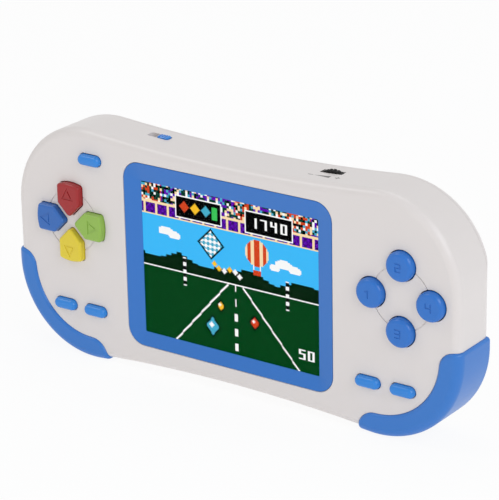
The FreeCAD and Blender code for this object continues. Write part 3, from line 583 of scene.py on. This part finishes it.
def add_flowers(p):
    """A bank of flowers: small dots of many colours, scattered by chance."""
    cell = p.f.node("CombineXYZ", sockets={"X": (p.u / 2).floor(), "Y": (p.v / 2).floor()})
    chance = p.f.node("TexWhiteNoise", {"noise_dimensions": "2D"}, {"Vector": cell})
    patch = p.f.node("CombineXYZ", sockets={"X": (p.u / 17).floor(), "Y": 1.0})
    which = p.f.node("TexWhiteNoise", {"noise_dimensions": "2D"}, {"Vector": patch})
    warm = p.f.mix(which > 0.5, coral, violet)
    bank = p.v > wall_high + 0.5
    p.paint(bank, leaf)
    for share, colour in ((0.2, black), (0.34, aqua), (0.46, warm), (0.74, cream), (0.88, white)):
        p.paint(bank * (chance > share), colour)


def add_counters(p):
    """Two black counters with white frames: gems and a meter on one, figures on the other."""
    for left, right in counters:
        p.paint(p.block(left, right, counter_low, counter_high), white)
        p.paint(p.block(left + 1, right - 1, counter_low + 1, counter_high - 1), black)
    for u, colour in counter_gems:
        p.paint(p.diamond(u, gem_row, 4.5), colour)
    p.paint(p.block(*meter), meter_green)
    for u, sign in counter_figures:
        p.paint(p.figure(u, figure_row, sign), white)


def add_road(p):
    """A road that runs to the hills, with gems on it, striped posts and figures in the corner."""
    depth = horizon - p.v
    across = p.u - road_middle
    edge = abs(abs(across) - depth * 0.9 - 6)
    p.paint((edge < 0.9) * (depth > 0), white)
    dashes = (abs(across) < 0.6 + depth * 0.02) * (depth > 0) * (depth % 12 < 6)
    p.paint(dashes, white)
    p.paint(p.block(left_end, right_end, horizon, horizon), white)
    for u in gate_posts:
        post = p.block(u, u + 2, gate_low, gate_high)
        p.paint(post, white)
        p.paint(post * ((p.v / 3).floor() % 2 > 0.5), black)
    for u, v, reach, colour in road_gems:
        p.paint(p.diamond(u, v, reach, 0.8), black)
        p.paint(p.diamond(u, v, reach - 1.5, 0.8), colour)
        p.paint(p.diamond(u - 1, v + 1, reach / 3), white)
    for u, sign in corner_figures:
        p.paint(p.figure(u, corner_row, sign), white)


def make_finishes():
    """Every finish of the console, by the name of its slot."""
    shell = {"roughness": 0.3, "drift": 0.012, "marks": ((volume_signs, ink),)}
    grip = {"roughness": 0.34, "grain": 0.2 * mm, "depth": 0.004 * mm}
    bezel = {"roughness": 0.32, "grain": 0.18 * mm, "depth": 0.002 * mm}
    key = {"roughness": 0.26, "grain": 0.18 * mm, "depth": 0.002 * mm}
    wheel = {"roughness": 0.6, "grain": 0.2 * mm, "depth": 0.01 * mm, "drift": 0.2}
    rubber = {"roughness": 0.6, "grain": 0.3 * mm, "depth": 0.02 * mm, "drift": 0.12}
    lead = {"roughness": 0.4, "grain": 0.2 * mm, "depth": 0.01 * mm, "drift": 0.1}
    # Painted light and shade on the blue keys: the pill keys painted lighter as painted light, the
    # left direction key painted darker as painted shade.
    painted_key_light_and_shade = ((option_keys_painted_lighter, (0.016, 0.215, 0.66)), (left_key_painted_shade, (0.017, 0.122, 0.44)))
    made = [
        moulded("shell_white", (0.7, 0.656, 0.64), **shell),
        moulded("soft_blue", (0.023, 0.168, 0.54), **grip),
        moulded("bezel_blue", (0.017, 0.153, 0.52), **bezel),
        moulded("key_blue", (0.012, 0.148, 0.535), marks=painted_key_light_and_shade, **key),
        moulded("key_red", (0.33, 0.007, 0.009), **key),
        moulded("key_green", (0.262, 0.45, 0.066), **key),
        moulded("key_yellow", (0.71, 0.56, 0.026), **key),
        moulded("wheel_black", (0.008, 0.007, 0.007), specular_ior_level=0.2, **wheel),
        moulded("frame_white", (0.62, 0.62, 0.6), roughness=0.4),
        moulded("keypad_rubber", (0.1, 0.105, 0.11), **rubber),
        moulded("lead_red", (0.4, 0.02, 0.02), **lead),
        clear_plate("lens"),
        picture_finish("display"),
        light_guide("light_guide"),
        flat_cable("ribbon"),
        circuit_board("board"),
        components("component_black"),
        brushed("component_metal", (0.36, 0.36, 0.37)),
        brushed("steel", (0.42, 0.42, 0.43), roughness=0.3, way=(14, 1, 1)),
        wrapped_cell("cell_wrap"),
        brushed("contact_metal", (0.58, 0.56, 0.5), roughness=0.28),
        pressed_cone("cone_paper"),
    ]
    return {material.name: material for material in made}


def paint_solids():
    """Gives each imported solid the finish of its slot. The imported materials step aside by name."""
    for plain in bpy.data.materials:
        plain.name = "packed_" + plain.name
    finishes = make_finishes()
    slots = {s["node"]: s["material_slot"] for s in frame["record"]["subparts"]}
    for name, piece in frame["nodes"].items():
        for slot in piece.material_slots:
            slot.material = finishes[slots[name]]
    return finishes


finishes = paint_solids()


# Rubber keypads. Each dome is a piece of its own
sheet_thickness = 0.8 * mm
sheet_corner = 4.0 * mm
sheet_edge = 0.15 * mm
dome_foot = 2.6 * mm
dome_crown = 1.7 * mm
dome_edge = 0.3 * mm
dome_sides = 48
direction_reach = 7.2 * mm
action_reach = 8.66 * mm
sharp_angle = 50
direction_keys = ["direction_key_" + way for way in ("up", "left", "down", "right")]
action_keys = ["action_button_" + number for number in "1234"]
keypads = {
    "left_keypad": (direction_reach, direction_keys),
    "right_keypad": (action_reach, action_keys),
}


def bevel(shape, edges, offset, segments):
    """Rounds some edges of a bmesh."""
    bmesh.ops.bevel(
        shape,
        geom=edges,
        offset=offset,
        segments=segments,
        affect="EDGES",
        profile=0.5,
        material=-1,
    )


def add_rubber(name, shape):
    """A finished rubber piece that rides on the console."""
    data = bpy.data.meshes.new(name)
    shape.to_mesh(data)
    shape.free()
    data.shade_smooth()
    data.set_sharp_from_angle(angle=math.radians(sharp_angle))
    data.materials.append(finishes["keypad_rubber"])
    piece = bpy.data.objects.new(name, data)
    bpy.context.scene.collection.objects.link(piece)
    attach(piece, "console")
    return piece


def rise(edge):
    """How far an edge runs from front to back."""
    return abs(edge.verts[0].co.y - edge.verts[1].co.y)


def make_sheet(node):
    """The keypad's flat sheet with round corners."""
    low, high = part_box(node)
    shape = bmesh.new()
    bmesh.ops.create_cube(shape, size=1.0)
    size = (high.x - low.x, sheet_thickness, high.z - low.z)
    bmesh.ops.scale(shape, vec=size, verts=shape.verts)
    corners = [e for e in shape.edges if rise(e) > sheet_thickness / 2]
    bevel(shape, corners, sheet_corner, segments=10)
    rims = [e for e in shape.edges if rise(e) < sheet_thickness / 2]
    bevel(shape, rims, sheet_edge, segments=2)
    place = middle(node)
    place.y = high.y - sheet_thickness / 2
    bmesh.ops.translate(shape, vec=place, verts=shape.verts)
    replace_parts(add_rubber(node + "_sheet", shape), node)


def make_dome(node, key, reach):
    """A rubber dome behind a key, at a reach from the keypad's middle, its foot in the sheet."""
    low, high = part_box(node)
    foot = high.y - sheet_thickness
    depth = foot + sheet_thickness / 2 - low.y
    way = middle(key) - middle(node)
    way.y = 0
    place = middle(node) + reach * way.normalized()
    place.y = low.y + depth / 2
    stand = Matrix.Translation(place) @ Matrix.Rotation(math.radians(90), 4, "X")
    shape = bmesh.new()
    bmesh.ops.create_cone(
        shape,
        cap_ends=True,
        segments=dome_sides,
        radius1=dome_foot,
        radius2=dome_crown,
        depth=depth,
        matrix=stand,
    )
    crown = [e for e in shape.edges if max(v.co.y for v in e.verts) < low.y + dome_edge]
    bevel(shape, crown, dome_edge, segments=4)
    piece = add_rubber(key + "_dome", shape)
    key + "_press"
    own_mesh(piece)


for node, (reach, keys) in keypads.items():
    make_sheet(node)
    for key in keys:
        make_dome(node, key, reach)


# Floor and light
bpy.context.scene.view_settings.view_transform = "Standard"
floor_side = 6.0
paper = 0.9
table_share = 0.3
table_light = 1.6
seen_share = 0.92
ambient = 0.5


def make_floor():
    """Pale paper over a light table. The camera sees it nearly white, with the shadow on it."""
    bpy.ops.mesh.primitive_plane_add(size=floor_side)
    floor = bpy.context.object
    floor.name = "floor"
    f = Finish("floor")
    seen = f.node("LightPath", out="Is Camera Ray")
    sheet = f.node("BsdfDiffuse", sockets={"Color": opaque((paper, paper, paper))})
    table = f.node("Emission", sockets={"Color": opaque(white), "Strength": table_light})
    backdrop = f.node("Emission", sockets={"Color": opaque(white), "Strength": 1.0})
    glow = f.node("MixShader", sockets={0: seen, 1: table, 2: backdrop})
    share = table_share + seen * (seen_share - table_share)
    both = f.node("MixShader", sockets={0: share, 1: sheet, 2: glow})
    f.node("OutputMaterial", sockets={"Surface": both}, out=None)
    floor.data.materials.append(f.material)


def make_world():
    """A dim world that is white where the camera, a reflection or clear plastic shows it."""
    world = bpy.data.worlds.new("studio")
    world.use_nodes = True
    tree = world.node_tree
    tree.nodes.clear()
    path = tree.nodes.new("ShaderNodeLightPath")
    seen = Wire(tree, path.outputs["Is Camera Ray"])
    seen = seen | Wire(tree, path.outputs["Is Glossy Ray"])
    seen = seen | Wire(tree, path.outputs["Is Transmission Ray"])
    back = tree.nodes.new("ShaderNodeBackground")
    strength = ambient + seen * (1 - ambient)
    tree.links.new(strength.socket, back.inputs["Strength"])
    back.inputs["Color"].default_value = opaque(white)
    output = tree.nodes.new("ShaderNodeOutputWorld")
    tree.links.new(back.outputs[0], output.inputs["Surface"])
    bpy.context.scene.world = world


def make_lamp(name, place, aim, side, power, colour=white, mirrored=True):
    """A square lamp. One that isn't mirrored leaves no glare on the window."""
    data = bpy.data.lights.new(name, "AREA")
    data.shape = "SQUARE"
    data.size = side
    data.energy = power
    data.color = colour
    lamp = bpy.data.objects.new(name, data)
    turn = (Vector(aim) - Vector(place)).to_track_quat("-Z", "Y").to_matrix().to_4x4()
    lamp.matrix_world = Matrix.Translation(place) @ turn
    lamp.visible_glossy = mirrored
    bpy.context.scene.collection.objects.link(lamp)


make_floor()
make_world()
day_blue = (0.91, 0.955, 1.0)
sky_blue = (0.86, 0.93, 1.0)
aim = (0.05, 0, 0.03)
make_lamp("key_lamp", (0.95, -0.42, 0.72), aim, side=0.7, power=4.9, colour=day_blue)
make_lamp("front_lamp", (0, -0.5, 0.04), (0, 0, 0.02), side=0.3, power=0.46, mirrored=False)
make_lamp("top_lamp", (-0.2, 0.4, 1.0), aim, side=0.6, power=1.5)
make_lamp("side_lamp", (0.8, 0.25, 0.9), (0.06, 0, 0.03), side=0.5, power=1.4, colour=sky_blue)
make_lamp("edge_lamp", (-0.65, -0.42, 0.9), (0, 0, 0.04), side=0.28, power=1.2)
